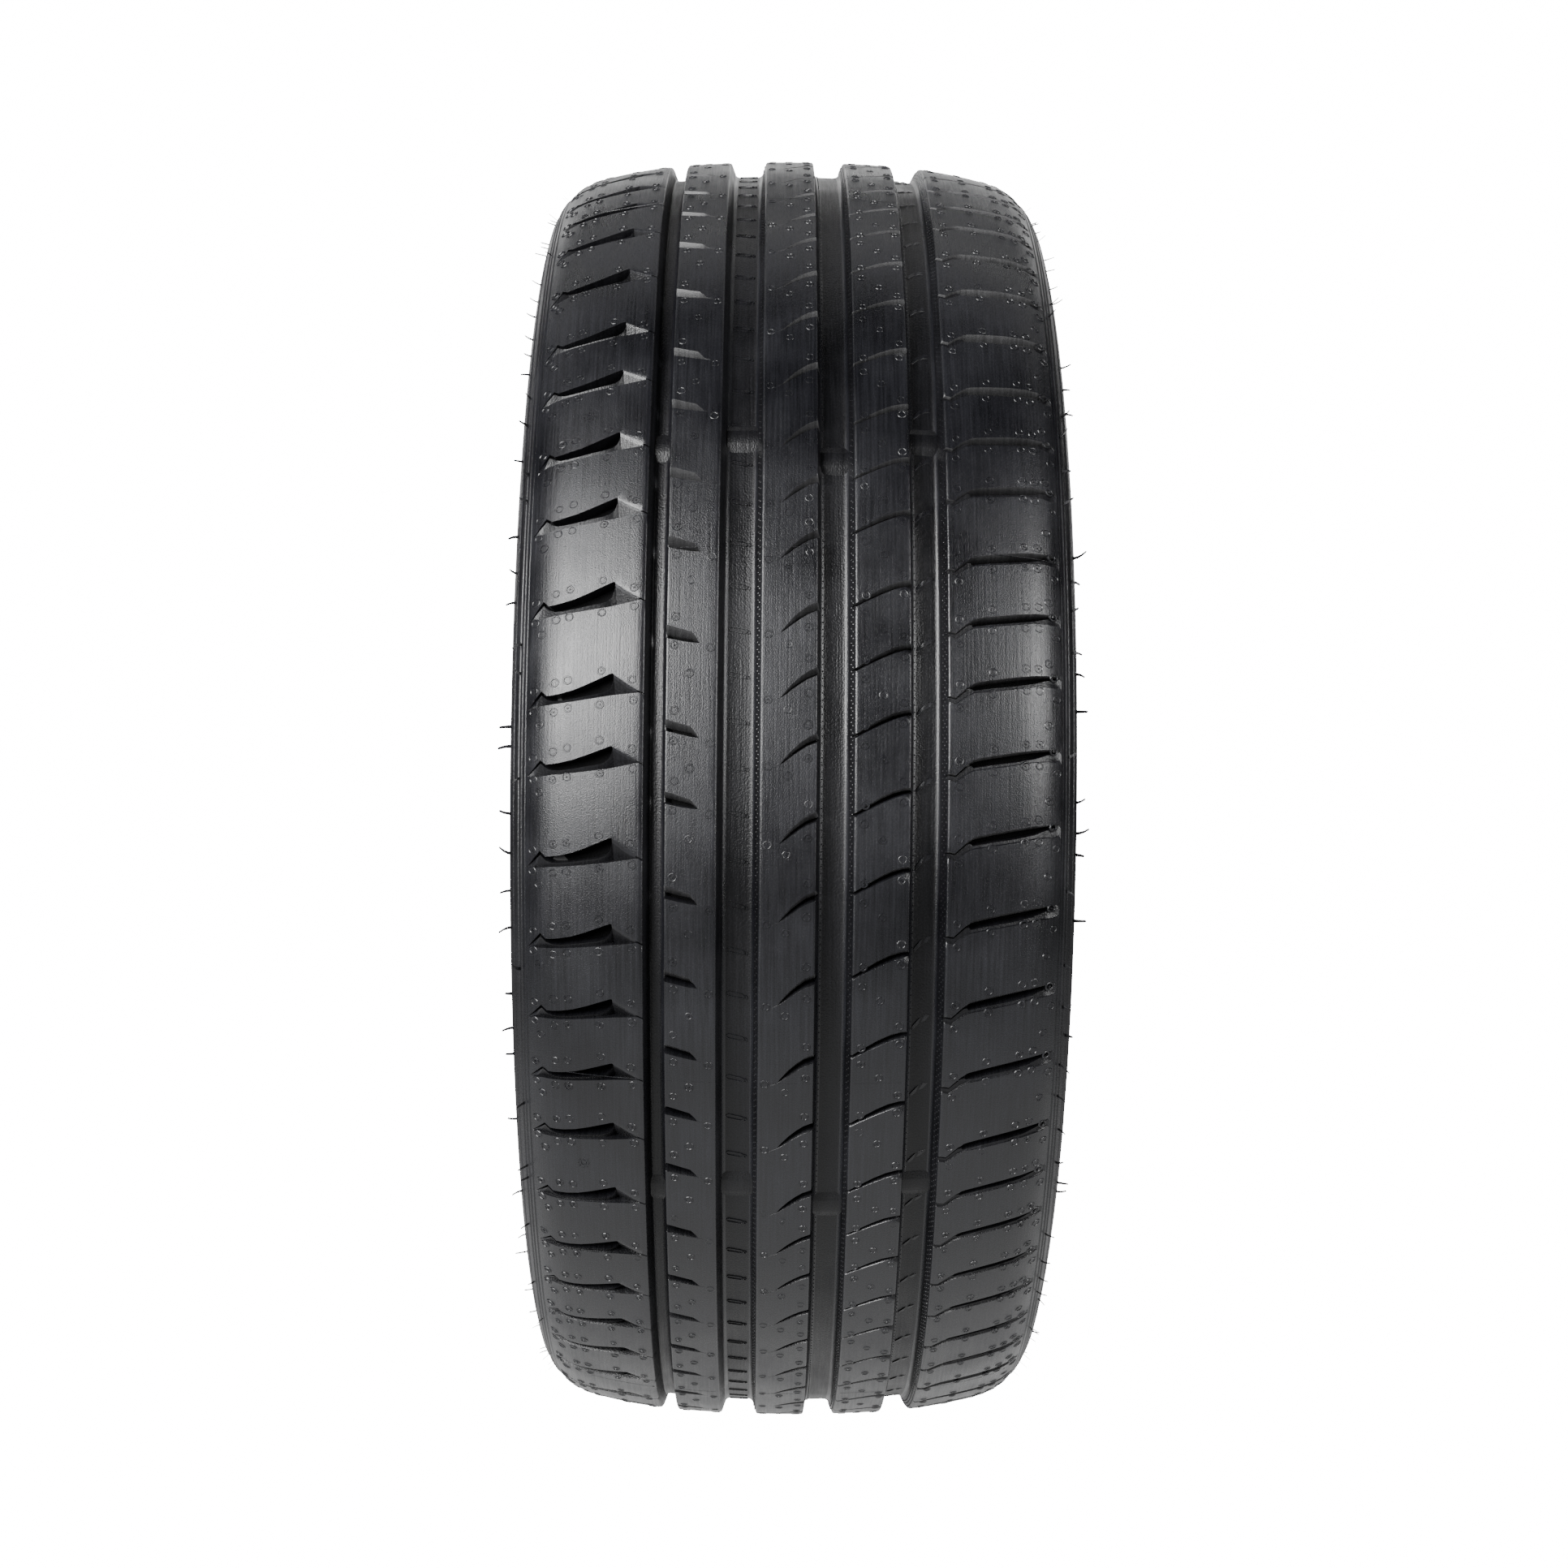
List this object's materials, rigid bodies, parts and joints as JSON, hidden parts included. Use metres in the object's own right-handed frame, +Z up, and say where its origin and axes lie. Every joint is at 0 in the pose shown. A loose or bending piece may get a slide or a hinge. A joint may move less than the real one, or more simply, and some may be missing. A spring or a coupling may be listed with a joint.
{
  "type": "passenger car tyre",
  "caption": "Low-profile radial road tyre with an asymmetric four-groove tread, built up from liner, ply, belts, beads, sidewalls and tread.",
  "frame": {"origin": "centre of the wheel: on the wheel axis, in the plane midway between the two widest points of the sidewalls", "axes": "+Y along the wheel axis towards the inboard side, so the outboard side faces -Y; +Z up, the tyre standing on -Z; +X forward"},
  "size_m": [0.6434, 0.236, 0.6434],
  "materials": {
    "tread_rubber": "satin, near-black tread compound",
    "sidewall_rubber": "satin, black moulded rubber",
    "inner_rubber": "smooth butyl and filler rubber",
    "textile_cord": "rubberised polyester and nylon cord",
    "steel_cord": "brass-coated steel cord laid in rubber",
    "bead_wire": "bronze-coated bead wire"
  },
  "bodies": {
    "root": {"inner_liner": "inner_rubber", "carcass_ply": "textile_cord", "bead_core_outboard": "bead_wire", "bead_core_inboard": "bead_wire", "bead_filler_outboard": "inner_rubber", "bead_filler_inboard": "inner_rubber", "rim_cushion_outboard": "sidewall_rubber", "rim_cushion_inboard": "sidewall_rubber", "sidewall_outboard": "sidewall_rubber", "sidewall_inboard": "sidewall_rubber", "belt_wedge_outboard": "inner_rubber", "belt_wedge_inboard": "inner_rubber", "inner_belt": "steel_cord", "outer_belt": "steel_cord", "cap_ply": "textile_cord", "edge_strip_outboard": "textile_cord", "edge_strip_inboard": "textile_cord", "tread_base": "inner_rubber", "tread_cap": "tread_rubber", "tread_wing_outboard": "sidewall_rubber", "tread_wing_inboard": "sidewall_rubber"}
  },
  "joints": []
}
